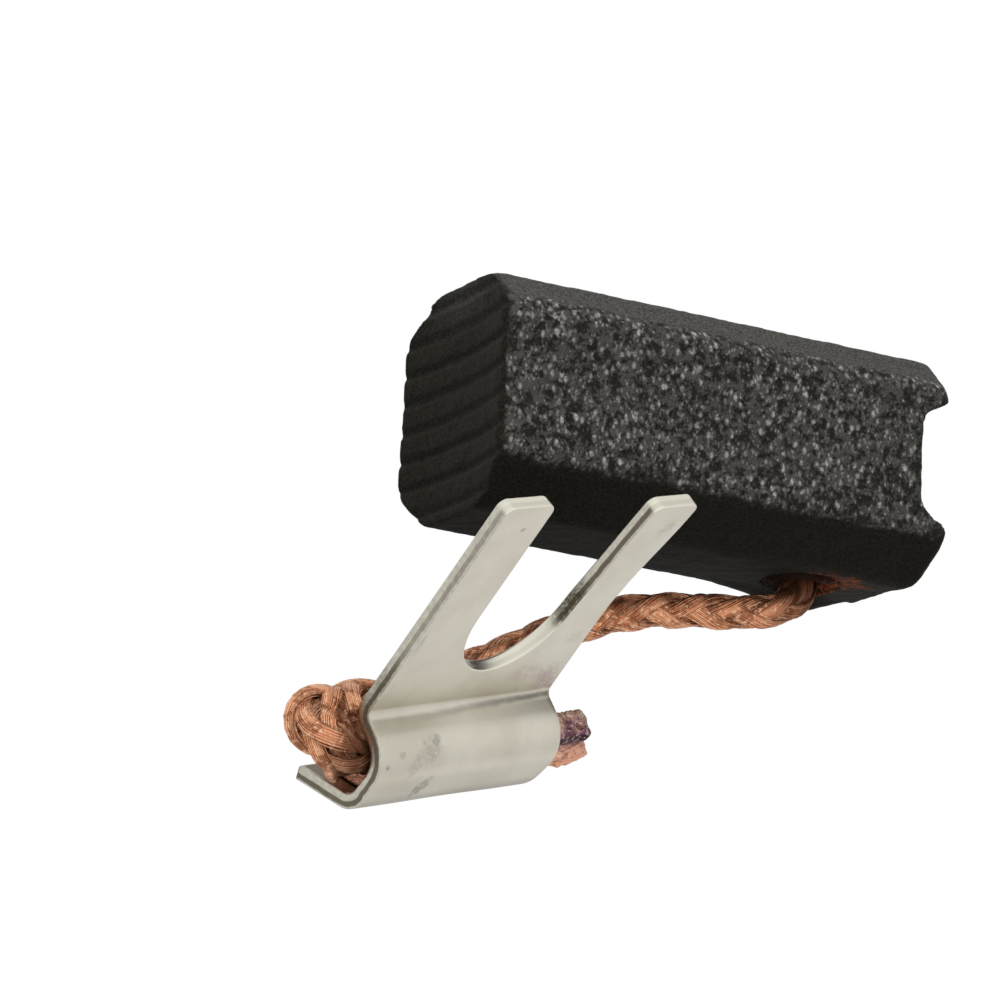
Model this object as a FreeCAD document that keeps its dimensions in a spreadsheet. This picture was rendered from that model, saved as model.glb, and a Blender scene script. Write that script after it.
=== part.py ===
import FreeCAD, Part
import math
import os

import Sketcher

# A carbon brush for an electric motor. A pressed carbon block with a ridged
# contact face and a groove across its rear end carries a braided copper
# pigtail, which is held in a hole by tamped copper powder. The free end of
# the pigtail is welded flat into the channel of a stamped fork terminal.
#
# Frame: millimetres, +Z up. The block lies on one of its pressed faces, its
# length along X with the contact face at -X, and the pigtail leaves the face
# at -Y. The origin is the middle of the face that the block rests on.

SIZES = [
    ("block_length", 16.8, "contact face to rear end"),
    ("block_height", 7.7, "across Y, from the pigtail face to the face behind it"),
    ("block_width", 7.0, "across Z, between the two pressed faces"),
    ("edge_rise", 1.25, "long edge chamfer, measured along Y"),
    ("edge_run", 1.7, "long edge chamfer, measured along Z"),
    ("edge_round", 1.0, "round on both sides of a long edge chamfer"),
    ("rear_round", 0.4, "round along the outline of the rear end"),
    ("front_round", 0.45, "round along the outline of the contact face, before it is ground"),
    ("groove_depth", 1.1, "rear groove, below the rear end"),
    ("groove_floor", 3.3, "flat of the rear groove"),
    ("groove_flare", 0.55, "how far each groove wall leans out"),
    ("groove_round", 0.65, "round between the groove's floor and walls"),
    ("commutator_radius", 18.0, "radius that the contact face is ground to"),
    ("ridge_count", 8, "grinding ridges on the contact face"),
    ("ridge_depth", 0.16, "depth of the notches between the ridges"),
    ("notch_share", 0.4, "share of a ridge's pitch that its notch takes"),
    ("hole_diameter", 2.6, "hole that takes the pigtail"),
    ("hole_depth", 3.2, "depth of that hole"),
    ("hole_from_rear", 3.45, "hole axis to the rear end"),
    ("powder_crown", 0.12, "how far the tamped powder stands proud at its crest"),
    ("powder_crest", 0.12, "crest of the powder, outside the middle of its ring"),
    ("powder_dish", 0.25, "how far it dips beside the braid"),
    ("bore_clearance", 0.03, "between the braid and the powder, on the radius"),
    ("cord_diameter", 1.2, "braided pigtail"),
    ("sheet", 0.5, "thickness of the terminal's strip"),
    ("fork_width", 8.2, "across the terminal"),
    ("slot_width", 4.3, "between the prongs, for an M4 screw"),
    ("slot_shift", 0.2, "slot centre line towards the narrower prong"),
    ("prong_length", 8.87, "channel bend to prong tip"),
    ("slot_straight", 4.87, "straight part of the slot, from the tips"),
    ("slot_round_depth", 2.5, "depth of the elliptic end of the slot"),
    ("tip_round", 0.35, "corner round at the prong tips"),
    ("prong_bend", 5.3, "degrees that the narrower prong is bent forward"),
    ("web_foot", 0.15, "foot of the flat web, below the terminal's own origin"),
    ("channel_offset", 1.62, "prongs' mid plane to the channel floor's mid plane"),
    ("channel_lean", 0.45, "how far the channel's upper wall leans away"),
    ("channel_floor", 1.95, "length of the channel floor between its bends"),
    ("lip_reach", 2.27, "depth of the channel's lower lip"),
    ("lip_flare", 0.9, "how far that lip leans away"),
    ("web_bend", 0.3, "inner radius at the web"),
    ("channel_bend", 0.85, "inner radius between the channel's wall and floor"),
    ("lip_bend", 0.45, "inner radius between the channel's floor and lip"),
    ("weld_face", 0.1, "welded braid, beyond the prongs' mid plane"),
    ("weld_inset", 0.7, "weld's start inside the channel's end"),
    ("stub_length", 2.1, "flattened braid that sticks out of the channel"),
    ("stub_back", 0.6, "back of that stub, beyond the prongs' mid plane"),
    ("stub_top", -0.6, "top of the stub at its back, along the prongs"),
    ("stub_lean", 0.3, "how far its front is lower than that"),
    ("stub_foot", -2.45, "foot of the stub, along the prongs"),
    ("stub_round", 0.4, "corner round at the stub's end"),
    ("entry_along", -1.5, "pigtail's axis at the weld, along the prongs"),
    ("entry_depth", 0.7, "pigtail's axis at the weld, beyond their mid plane"),
    ("entry_run", 0.9, "straight run of the pigtail before the weld"),
    ("terminal_x", -8.14, "middle of the web, in the row's frame"),
    ("terminal_y", -9.864, "middle of the web, in the row's frame"),
    ("terminal_yaw", 17.0, "degrees"),
    ("terminal_pitch", 16.6, "degrees"),
    ("terminal_roll", 57.9, "degrees"),
]

# The pigtail's route, from its root in the block to the terminal, where a
# straight run along the channel follows. Its points are chosen by hand from
# how the braid lies.
CORD_ROUTE = [
    (4.95, -0.80, 3.50),
    (4.97, -2.45, 3.50),
    (4.93, -4.20, 3.48),
    (4.35, -4.82, 3.36),
    (3.05, -5.06, 3.13),
    (1.12, -5.21, 2.78),
    (-0.79, -5.53, 2.57),
    (-2.47, -6.18, 2.45),
    (-4.28, -7.05, 2.40),
    (-6.05, -8.03, 2.47),
    (-7.79, -8.98, 2.66),
    (-9.52, -9.74, 2.93),
    (-11.18, -10.19, 3.32),
    (-12.38, -10.56, 3.74),
    (-13.04, -11.06, 4.06),
    (-13.27, -11.71, 4.50),
    (-12.74, -12.25, 4.86),
]

OUT_DIR = "parts"
TINY = 1e-4

# How far a cutting shape reaches past what it cuts, and the share of the
# shorter run that an arc of the pigtail's path takes.
CUT_SPARE = 1.0
ARC_SHARE = 0.45


def make_sheet(doc):
    """Write every driving size into a spreadsheet cell with an alias."""
    sheet = doc.addObject("Spreadsheet::Sheet", "Sizes")
    for row, (alias, value, note) in enumerate(SIZES, start=1):
        sheet.set("A%d" % row, alias)
        sheet.set("B%d" % row, str(value))
        sheet.set("C%d" % row, note)
        sheet.setAlias("B%d" % row, alias)
    doc.recompute()
    return sheet


def make_body(doc, name):
    """Add an empty body whose label names its file."""
    body = doc.addObject("PartDesign::Body", name)
    body.Label = name
    return body


def add_sketch(body, name, role, offset):
    """Attach an empty sketch to one of the body's own origin planes.

    The offset gives the expressions that move the sketch's origin, in the
    plane's own axes.
    """
    sketch = body.newObject("Sketcher::SketchObject", name)
    plane = [item for item in body.Origin.OriginFeatures if item.Role == role][0]
    sketch.AttachmentSupport = [(plane, "")]
    sketch.MapMode = "FlatFace"
    for axis, expression in zip("xyz", offset):
        if expression:
            sketch.setExpression("AttachmentOffset.Base." + axis, expression)
    return sketch


def draw_polygon(sketch, corners):
    """Draw a closed polygon whose corners are bound to expressions."""
    places = [(sketch.evalExpression(x), sketch.evalExpression(y)) for x, y in corners]
    points = [FreeCAD.Vector(x, y, 0) for x, y in places]
    count = len(points)
    for index in range(count):
        sketch.addGeometry(Part.LineSegment(points[index], points[(index + 1) % count]))
    for index in range(count):
        follower = (index + 1) % count
        sketch.addConstraint(Sketcher.Constraint("Coincident", index, 2, follower, 1))
    for index, (x, y) in enumerate(corners):
        for kind, text, value in (("DistanceX", x, places[index][0]),
                                  ("DistanceY", y, places[index][1])):
            number = sketch.addConstraint(Sketcher.Constraint(kind, -1, 1, index, 1, value))
            name = "%s%d" % (kind[-1].lower(), index)
            sketch.renameConstraint(number, name)
            sketch.setExpression(".Constraints." + name, text)


def add_pad(body, name, sketch, length):
    """Pad a sketch by an expression."""
    pad = body.newObject("PartDesign::Pad", name)
    pad.Profile = sketch
    pad.setExpression("Length", length)
    return pad


def add_fillet(body, name, base, edges, radius):
    """Round the named edges of a feature by an expression."""
    fillet = body.newObject("PartDesign::Fillet", name)
    fillet.Base = (base, edges)
    fillet.setExpression("Radius", radius)
    return fillet


def find_edges(shape, test):
    """Name the edges whose two ends pass a test."""
    names = []
    for number, edge in enumerate(shape.Edges, start=1):
        ends = [vertex.Point for vertex in edge.Vertexes]
        if len(ends) == 2 and test(ends[0], ends[1]):
            names.append("Edge%d" % number)
    return names


def make_block(doc, size):
    """Carbon block: rounded bar, ridged contact face, rear groove and hole."""
    body = make_body(doc, "carbon_block")
    half = "Sizes.block_height / 2"
    top = "Sizes.block_width"
    section = add_sketch(body, "block_section", "YZ_Plane", ("", "", "-Sizes.block_length / 2"))
    draw_polygon(section, [
        ("-" + half + " + Sizes.edge_rise", "0"),
        (half + " - Sizes.edge_rise", "0"),
        (half, "Sizes.edge_run"),
        (half, top + " - Sizes.edge_run"),
        (half + " - Sizes.edge_rise", top),
        ("-" + half + " + Sizes.edge_rise", top),
        ("-" + half, top + " - Sizes.edge_run"),
        ("-" + half, "Sizes.edge_run"),
    ])
    bar = add_pad(body, "block_bar", section, "Sizes.block_length")
    doc.recompute()

    long_edges = find_edges(bar.Shape, lambda a, b: abs(a.x - b.x) > TINY)
    bar = add_fillet(body, "long_edges", bar, long_edges, "Sizes.edge_round")
    doc.recompute()

    rear = size("block_length") / 2
    rear_edges = find_edges(bar.Shape, lambda a, b: min(a.x, b.x) > rear - TINY)
    bar = add_fillet(body, "rear_edges", bar, rear_edges, "Sizes.rear_round")
    doc.recompute()
    front_edges = find_edges(bar.Shape, lambda a, b: max(a.x, b.x) < TINY - rear)
    add_fillet(body, "front_edges", bar, front_edges, "Sizes.front_round")

    groove_sketch = add_sketch(body, "groove_section", "XY_Plane", ("Sizes.block_length / 2", "", ""))
    floor_half = "Sizes.groove_floor / 2"
    mouth_half = "(Sizes.groove_floor / 2 + Sizes.groove_flare * 2)"
    draw_polygon(groove_sketch, [
        ("-Sizes.groove_depth", "-" + floor_half),
        ("Sizes.groove_depth", "-" + mouth_half),
        ("Sizes.groove_depth", mouth_half),
        ("-Sizes.groove_depth", floor_half),
    ])
    groove = body.newObject("PartDesign::Pocket", "rear_groove")
    groove.Profile = groove_sketch
    groove.Type = "ThroughAll"
    groove.Reversed = True
    doc.recompute()

    floor_x = rear - size("groove_depth")
    floor_edges = find_edges(
        groove.Shape,
        lambda a, b: max(abs(a.x - floor_x), abs(b.x - floor_x)) < TINY
        and abs(a.z - b.z) > size("block_width") / 2)
    add_fillet(body, "groove_corners", groove, floor_edges, "Sizes.groove_round")

    add_contact_face(body)

    hole_sketch = add_sketch(body, "hole_circle", "XZ_Plane",
                             ("Sizes.block_length / 2 - Sizes.hole_from_rear",
                              "Sizes.block_width / 2", "Sizes.block_height / 2"))
    hole_sketch.addGeometry(Part.Circle(FreeCAD.Vector(0, 0, 0), FreeCAD.Vector(0, 0, 1),
                                        size("hole_diameter") / 2))
    hole_sketch.addConstraint(Sketcher.Constraint("Coincident", 0, 3, -1, 1))
    number = hole_sketch.addConstraint(Sketcher.Constraint("Diameter", 0, size("hole_diameter")))
    hole_sketch.renameConstraint(number, "across")
    hole_sketch.setExpression(".Constraints.across", "Sizes.hole_diameter")
    hole = body.newObject("PartDesign::Pocket", "pigtail_hole")
    hole.Profile = hole_sketch
    hole.setExpression("Length", "Sizes.hole_depth")
    doc.recompute()
    return body


def add_contact_face(body):
    """Grind the contact face to the commutator's radius, with ridges in it.

    Both cuts turn about the commutator's axis, which is parallel to Y and
    stands in front of the block at half its width.
    """
    rim_gap = "sqrt(Sizes.commutator_radius ^ 2 - (Sizes.block_width / 2) ^ 2)"
    offset = ("-Sizes.block_length / 2 - " + rim_gap, "", "Sizes.block_width / 2")
    clear = "(Sizes.block_height / 2 + %g)" % CUT_SPARE

    face_sketch = add_sketch(body, "contact_arc", "XY_Plane", offset)
    inner = rim_gap + " - %g" % CUT_SPARE
    draw_polygon(face_sketch, [
        (inner, "-" + clear),
        ("Sizes.commutator_radius", "-" + clear),
        ("Sizes.commutator_radius", clear),
        (inner, clear),
    ])
    face = body.newObject("PartDesign::Groove", "contact_face")
    face.Profile = face_sketch
    face.ReferenceAxis = (face_sketch, ["V_Axis"])
    face.Angle = 360

    pitch = "Sizes.block_height / Sizes.ridge_count"
    start = "-Sizes.block_height / 2 + " + pitch + " / 2"
    half_notch = "Sizes.notch_share * " + pitch
    notch_sketch = add_sketch(body, "notch_section", "XY_Plane", offset)
    draw_polygon(notch_sketch, [
        ("Sizes.commutator_radius - Sizes.ridge_depth", start + " - " + half_notch),
        ("Sizes.commutator_radius + Sizes.ridge_depth", start),
        ("Sizes.commutator_radius - Sizes.ridge_depth", start + " + " + half_notch),
    ])
    notch = body.newObject("PartDesign::Groove", "first_notch")
    notch.Profile = notch_sketch
    notch.ReferenceAxis = (notch_sketch, ["V_Axis"])
    notch.Angle = 360
    body.Document.recompute()
    pattern = body.newObject("PartDesign::LinearPattern", "notches")
    pattern.Originals = [notch]
    pattern.Direction = (notch_sketch, ["V_Axis"])
    pattern.setExpression("Length", "Sizes.block_height - " + pitch)
    pattern.setExpression("Occurrences", "Sizes.ridge_count")
    body.Tip = pattern
    body.Document.recompute()


def make_powder(doc):
    """Tamped copper powder: a dished ring that fills the hole round the braid."""
    body = make_body(doc, "tamped_powder")
    profile = add_sketch(body, "powder_section", "XY_Plane",
                         ("Sizes.block_length / 2 - Sizes.hole_from_rear",
                          "-Sizes.block_height / 2", "Sizes.block_width / 2"))
    bore = "(Sizes.cord_diameter / 2 + Sizes.bore_clearance)"
    rim = "Sizes.hole_diameter / 2"
    crest = "(" + bore + " + " + rim + ") / 2 + Sizes.powder_crest"
    draw_polygon(profile, [
        (bore, "Sizes.hole_depth"),
        (rim, "Sizes.hole_depth"),
        (rim, "0"),
        (crest, "-Sizes.powder_crown"),
        (bore, "Sizes.powder_dish"),
    ])
    ring = body.newObject("PartDesign::Revolution", "powder_ring")
    ring.Profile = profile
    ring.ReferenceAxis = (profile, ["V_Axis"])
    ring.Angle = 360
    doc.recompute()
    return body


def strip_corners(size):
    """Mid-line corners of the terminal's bent strip, from the slot to the lip.

    The first number runs along the prongs and the second square to them.
    """
    web_top = size("prong_length") - size("slot_straight")
    web_foot = -size("web_foot")
    upper = web_foot - size("channel_lean")
    lower = upper - size("channel_floor")
    floor = size("channel_offset")
    return [
        (web_top, 0.0),
        (web_foot, 0.0),
        (upper, floor),
        (lower, floor),
        (lower - size("lip_flare"), floor - size("lip_reach")),
    ]


def offset_corners(corners, distance):
    """Shift an open polyline sideways, with mitred corners.

    A positive distance goes towards the fork's front, away from the channel.
    """
    shifted = []
    count = len(corners)
    normals = []
    for (x0, y0), (x1, y1) in zip(corners, corners[1:]):
        run = math.hypot(x1 - x0, y1 - y0)
        normals.append(((y1 - y0) / run, -(x1 - x0) / run))
    for index, (x, y) in enumerate(corners):
        before = normals[max(index - 1, 0)]
        after = normals[min(index, count - 2)]
        scale = distance / (1 + before[0] * after[0] + before[1] * after[1])
        shifted.append((x + (before[0] + after[0]) * scale, y + (before[1] + after[1]) * scale))
    return shifted


def as_text(points):
    """Write plain points as expressions for a sketch."""
    return [("%.6f" % x, "%.6f" % y) for x, y in points]


def near_corner(edge_start, edge_end, corner):
    """Tell whether an edge runs across the terminal through one corner."""
    ends = (edge_start, edge_end)
    return all(math.hypot(end.y - corner[0], end.z - corner[1]) < TINY for end in ends)


def terminal_place(size, height):
    """Placement of the terminal and of the weld in it."""
    return FreeCAD.Placement(
        FreeCAD.Vector(size("terminal_x"), size("terminal_y"), height),
        FreeCAD.Rotation(size("terminal_yaw"), size("terminal_pitch"), size("terminal_roll")))


def make_terminal(doc, size):
    """Fork terminal: a slotted plate whose foot is folded into a channel."""
    body = make_body(doc, "fork_terminal")
    mid_line = strip_corners(size)
    half_sheet = size("sheet") / 2
    front = offset_corners(mid_line, half_sheet)
    back = offset_corners(mid_line, -half_sheet)
    across = "-Sizes.fork_width / 2"

    strip_sketch = add_sketch(body, "strip_section", "YZ_Plane", ("", "", across))
    draw_polygon(strip_sketch, as_text(front + back[::-1]))
    strip = add_pad(body, "strip", strip_sketch, "Sizes.fork_width")
    doc.recompute()

    bends = [("web_bend", 1, 1), ("channel_bend", 2, -1), ("lip_bend", 3, -1)]
    for alias, index, turn_side in bends:
        for skin, side in ((front, 1), (back, -1)):
            corner = skin[index]
            inner = side == turn_side
            radius = "Sizes." + alias + ("" if inner else " + Sizes.sheet")
            edges = find_edges(strip.Shape, lambda a, b, c=corner: near_corner(a, b, c))
            strip = add_fillet(body, "bend_%d_%s" % (index, "in" if inner else "out"),
                               strip, edges, radius)
            doc.recompute()

    slot_half = "Sizes.slot_width / 2"
    root = "(Sizes.prong_length - Sizes.slot_straight)"
    left_sketch = add_sketch(body, "left_prong_section", "YZ_Plane", ("", "", across))
    prong_outline = [(root, "-Sizes.sheet / 2"), ("Sizes.prong_length", "-Sizes.sheet / 2"),
                     ("Sizes.prong_length", "Sizes.sheet / 2"), (root, "Sizes.sheet / 2")]
    draw_polygon(left_sketch, prong_outline)
    add_pad(body, "left_prong", left_sketch,
            "Sizes.fork_width / 2 - " + slot_half + " + Sizes.slot_shift")

    right_sketch = add_sketch(body, "right_prong_section", "YZ_Plane",
                              ("", "", slot_half + " + Sizes.slot_shift"))
    lean = math.radians(size("prong_bend"))
    low = size("prong_length") - size("slot_straight")
    reach = size("slot_straight")
    tip = (low + reach * math.cos(lean), reach * math.sin(lean))
    across_tip = (-half_sheet * math.sin(lean), half_sheet * math.cos(lean))
    miter = half_sheet * math.tan(lean / 2)
    draw_polygon(right_sketch, as_text([
        (low, -half_sheet),
        (low + miter, -half_sheet),
        (tip[0] - across_tip[0], tip[1] - across_tip[1]),
        (tip[0] + across_tip[0], tip[1] + across_tip[1]),
        (low - miter, half_sheet),
        (low - miter, 0.0),
    ]))
    prong = add_pad(body, "right_prong", right_sketch,
                    "Sizes.fork_width / 2 - " + slot_half + " - Sizes.slot_shift")
    doc.recompute()

    near_tip = tip[0] - size("tip_round")
    tips = find_edges(prong.Shape, lambda a, b: min(a.y, b.y) > near_tip
                      and abs(a.x - b.x) < TINY and abs(a.z - b.z) > half_sheet)
    add_fillet(body, "tip_corners", prong, tips, "Sizes.tip_round")

    slot_sketch = add_sketch(body, "slot_end", "XY_Plane", ("Sizes.slot_shift", root, "-Sizes.sheet"))
    half_width = size("slot_width") / 2
    depth = size("slot_round_depth")
    ellipse = Part.Ellipse(FreeCAD.Vector(0, depth, 0), FreeCAD.Vector(-half_width, 0, 0),
                           FreeCAD.Vector(0, 0, 0))
    slot_sketch.addGeometry(Part.ArcOfEllipse(ellipse, math.pi / 2, 3 * math.pi / 2))
    mouth = [(half_width, 0), (half_width, CUT_SPARE), (-half_width, CUT_SPARE), (-half_width, 0)]
    ends = [FreeCAD.Vector(x, y, 0) for x, y in mouth]
    for start, end in zip(ends, ends[1:]):
        slot_sketch.addGeometry(Part.LineSegment(start, end))
    slot = body.newObject("PartDesign::Pocket", "slot")
    slot.Profile = slot_sketch
    slot.setExpression("Length", "2 * Sizes.sheet")
    slot.Reversed = True
    doc.recompute()
    return body


def make_weld(doc, size):
    """Flattened end of the braid, fused into the terminal's channel."""
    body = make_body(doc, "pigtail_weld")
    skin = offset_corners(strip_corners(size), -size("sheet") / 2)
    face = -size("weld_face")

    def on_wall(start, end):
        """Where a channel wall passes the weld's open face."""
        share = (face - start[1]) / (end[1] - start[1])
        return (start[0] + share * (end[0] - start[0]), face)

    upper_start, upper_end, lower_start, lower_end = skin[1], skin[2], skin[3], skin[4]
    upper_top = on_wall(upper_start, upper_end)
    lower_top = on_wall(lower_start, lower_end)
    sketch = add_sketch(body, "weld_section", "YZ_Plane",
                        ("", "", "-Sizes.fork_width / 2 + Sizes.weld_inset"))
    draw_polygon(sketch, as_text([upper_top, upper_end, lower_start, lower_top]))
    pad = add_pad(body, "weld_bar", sketch, "Sizes.fork_width - Sizes.weld_inset")
    doc.recompute()

    for alias, corner in (("channel_bend", upper_end), ("lip_bend", lower_start)):
        edges = find_edges(pad.Shape, lambda a, b, c=corner: near_corner(a, b, c))
        pad = add_fillet(body, "weld_" + alias, pad, edges, "Sizes." + alias)
        doc.recompute()

    stub_sketch = add_sketch(body, "stub_section", "YZ_Plane", ("", "", "Sizes.fork_width / 2"))
    floor = "Sizes.channel_offset - Sizes.sheet / 2"
    draw_polygon(stub_sketch, [
        ("Sizes.stub_foot", "Sizes.stub_back"),
        ("Sizes.stub_top", "Sizes.stub_back"),
        ("Sizes.stub_top - Sizes.stub_lean", floor),
        ("Sizes.stub_foot", floor),
    ])
    stub = add_pad(body, "stub", stub_sketch, "Sizes.stub_length")
    doc.recompute()

    stub_end = size("fork_width") / 2 + size("stub_length")
    ends = find_edges(stub.Shape, lambda a, b: min(a.x, b.x) > stub_end - TINY
                      and abs(a.z - b.z) > size("stub_round"))
    add_fillet(body, "stub_corners", stub, ends, "Sizes.stub_round")
    doc.recompute()
    return body


def route_wire(points):
    """Join straight runs by tangent arcs and print each arc's radius."""
    corners = [FreeCAD.Vector(*point) for point in points]
    edges = []
    radii = []
    start = corners[0]
    for before, corner, after in zip(corners, corners[1:], corners[2:]):
        back = before - corner
        ahead = after - corner
        shorter = min(back.Length, ahead.Length)
        back.normalize()
        ahead.normalize()
        half_turn = (math.pi - back.getAngle(ahead)) / 2
        setback = ARC_SHARE * shorter
        radius = setback / math.tan(half_turn)
        bisector = back + ahead
        bisector.normalize()
        centre = corner + bisector * (radius / math.cos(half_turn))
        arc_start = corner + back * setback
        arc_end = corner + ahead * setback
        arc_middle = centre - bisector * radius
        edges.append(Part.LineSegment(start, arc_start).toShape())
        edges.append(Part.Arc(arc_start, arc_middle, arc_end).toShape())
        radii.append(round(radius, 2))
        start = arc_end
    edges.append(Part.LineSegment(start, corners[-1]).toShape())
    print("cord radii, mm:", radii)
    return Part.Wire(edges)


def make_pigtail(doc, size, place):
    """Pigtail: a plain round tube along the route, into the channel's end."""
    weld_start = -size("fork_width") / 2 + size("weld_inset")
    entry = [place.multVec(FreeCAD.Vector(across, size("entry_along"), size("entry_depth")))
             for across in (weld_start - size("entry_run"), weld_start)]
    print("route's last points, mm:", [tuple(round(number, 3) for number in point) for point in entry])
    wire = route_wire(CORD_ROUTE + entry)
    spine = doc.addObject("Part::Feature", "pigtail_route")
    spine.Shape = wire
    first = wire.Edges[0]
    ring = doc.addObject("Part::Circle", "pigtail_ring")
    ring.setExpression("Radius", "Sizes.cord_diameter / 2")
    ring.Placement = FreeCAD.Placement(
        first.valueAt(first.FirstParameter),
        FreeCAD.Rotation(FreeCAD.Vector(0, 0, 1), first.tangentAt(first.FirstParameter)))
    tube = doc.addObject("Part::Sweep", "pigtail")
    tube.Label = "pigtail"
    tube.Sections = [ring]
    tube.Spine = spine
    tube.Solid = True
    tube.Frenet = False
    tube.Transition = "Right corner"
    doc.recompute()
    expected = math.pi * (size("cord_diameter") / 2) ** 2 * wire.Length
    print("cord length %.2f mm, volume %.3f of %.3f" % (wire.Length, tube.Shape.Volume, expected))
    return tube


def check_document(doc):
    """Stop if any object failed to recompute."""
    for item in doc.Objects:
        if "Invalid" in item.State or "Error" in item.State:
            raise RuntimeError("failed object: " + item.Name)


def write_parts(pieces):
    """Check each piece's shape and write it to its own file."""
    os.makedirs(OUT_DIR, exist_ok=True)
    for piece in pieces:
        shape = piece.Shape
        if shape.isNull() or not shape.isValid():
            raise RuntimeError("bad shape: " + piece.Label)
    for piece in pieces:
        shape = piece.Shape
        shape.exportStep(os.path.join(OUT_DIR, piece.Label + ".step"))
        box = shape.BoundBox
        print("%s: %d solid, %.3f mm3, x %.2f..%.2f y %.2f..%.2f z %.2f..%.2f" % (
            piece.Label, len(shape.Solids), shape.Volume,
            box.XMin, box.XMax, box.YMin, box.YMax, box.ZMin, box.ZMax))


def main():
    """Build every piece and write the files."""
    doc = FreeCAD.newDocument("carbon_brush")
    sheet = make_sheet(doc)

    def size(alias):
        return float(sheet.get(alias))

    block = make_block(doc, size)
    powder = make_powder(doc)
    terminal = make_terminal(doc, size)
    weld = make_weld(doc, size)

    # The terminal stands on the corner of its lip, so its height follows
    # from its own lowest point.
    level = terminal.Shape.copy()
    level.Placement = terminal_place(size, 0).multiply(level.Placement)
    height = -level.optimalBoundingBox(False).ZMin
    place = terminal_place(size, height)
    terminal.Placement = place
    weld.Placement = place
    doc.recompute()

    pigtail = make_pigtail(doc, size, place)
    doc.recompute()

    check_document(doc)
    write_parts([block, powder, pigtail, weld, terminal])


main()
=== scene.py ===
# %% [markdown]
# # A carbon brush, dressed
#
# The brush is a pressed block of carbon that rubs on a motor's commutator. A braid
# of bare copper wire carries its current to a stamped fork, which a screw clamps.
# The pieces of the CAD model come in as a fixed frame, in metres. This lesson keeps
# their places and gives each of them the surface that the real one has.

# %% Load the frame
import math

import bpy
import numpy as np
from mathutils import Matrix, Vector


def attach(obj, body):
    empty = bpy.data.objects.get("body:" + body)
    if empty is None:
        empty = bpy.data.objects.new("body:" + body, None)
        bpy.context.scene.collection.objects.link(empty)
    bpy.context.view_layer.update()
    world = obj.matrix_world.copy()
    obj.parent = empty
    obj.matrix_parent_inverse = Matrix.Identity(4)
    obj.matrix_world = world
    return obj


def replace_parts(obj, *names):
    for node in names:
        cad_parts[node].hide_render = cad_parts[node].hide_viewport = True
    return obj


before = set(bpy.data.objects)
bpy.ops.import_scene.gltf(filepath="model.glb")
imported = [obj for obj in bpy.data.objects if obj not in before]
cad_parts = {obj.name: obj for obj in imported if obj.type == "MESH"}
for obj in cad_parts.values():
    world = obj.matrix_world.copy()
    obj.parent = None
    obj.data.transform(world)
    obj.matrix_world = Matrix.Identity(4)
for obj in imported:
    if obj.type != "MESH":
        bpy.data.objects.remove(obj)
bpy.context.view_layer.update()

MM = 0.001


def add_object(name, data):
    """Put a new object with this data in the scene."""
    thing = bpy.data.objects.new(name, data)
    bpy.context.scene.collection.objects.link(thing)
    return thing


print("nodes:", sorted(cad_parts))

# %% [markdown]
# ## The camera
#
# The photograph looks steeply down on the block, from the end that touches the
# commutator, and the camera is rolled on its side. A long lens from 17 cm away
# gives the same slight perspective. The camera's own axes are written out, because
# a roll this strong reads badly as angles.

# %% Place the camera
CAMERA_PLACE = np.array((-79.16, -43.848, 138.424)) * MM
CAMERA_RIGHT = (0.87258645, 0.0500213, 0.48589171)
CAMERA_UP = (-0.16769457, 0.9649611, 0.20181329)
CAMERA_BACK = (-0.45877163, -0.25758094, 0.85040029)
LENS_MM = 180
SENSOR_MM = 36


def add_camera():
    """A camera whose columns are its right, up and back directions."""
    data = bpy.data.cameras.new("photo_camera")
    data.lens = LENS_MM
    data.sensor_width = SENSOR_MM
    data.clip_start = 10 * MM
    camera = add_object("photo_camera", data)
    columns = np.column_stack((CAMERA_RIGHT, CAMERA_UP, CAMERA_BACK, CAMERA_PLACE))
    camera.matrix_world = Matrix(np.vstack((columns, (0, 0, 0, 1))).tolist())
    bpy.context.scene.camera = camera


add_camera()
print("camera at", (CAMERA_PLACE / MM).round(1).tolist(), "mm")

# %% [markdown]
# ## Shader maths as Python
#
# A material is a small program. Wrapping a socket in a class lets sums be written
# as sums: each operator adds the Math node that does it.

# %% A socket that can be added, multiplied and compared
class Value:
    """One output socket of a node, with Python's operators for Math nodes."""

    def __init__(self, tree, socket):
        self.tree = tree
        self.socket = socket

    def maths(self, operation, *others, clamp=False):
        """A Math node that takes this value first."""
        settings = {"operation": operation, "use_clamp": clamp}
        return self.tree.add("ShaderNodeMath", settings, dict(enumerate((self,) + others)))

    def __add__(self, other):
        return self.maths("ADD", other)

    def __sub__(self, other):
        return self.maths("SUBTRACT", other)

    def __rsub__(self, other):
        return self.tree.add("ShaderNodeMath", {"operation": "SUBTRACT"}, {0: other, 1: self})

    def __mul__(self, other):
        return self.maths("MULTIPLY", other)

    def __pow__(self, other):
        return self.maths("POWER", other)

    def clamp(self):
        """The value, held between 0 and 1."""
        return self.maths("ADD", 0.0, clamp=True)

    def step(self, low, high):
        """0 below low, 1 above high, and a smooth rise between them."""
        settings = {"interpolation_type": "SMOOTHSTEP"}
        return self.tree.add("ShaderNodeMapRange", settings, {0: self, 1: low, 2: high})

    def band(self, start, low, high, end):
        """1 between low and high, 0 before start and after end: a step times one less another."""
        return self.step(start, low) * (1 - self.step(high, end))


NOISE_ROUGHNESS = 0.55


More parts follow.
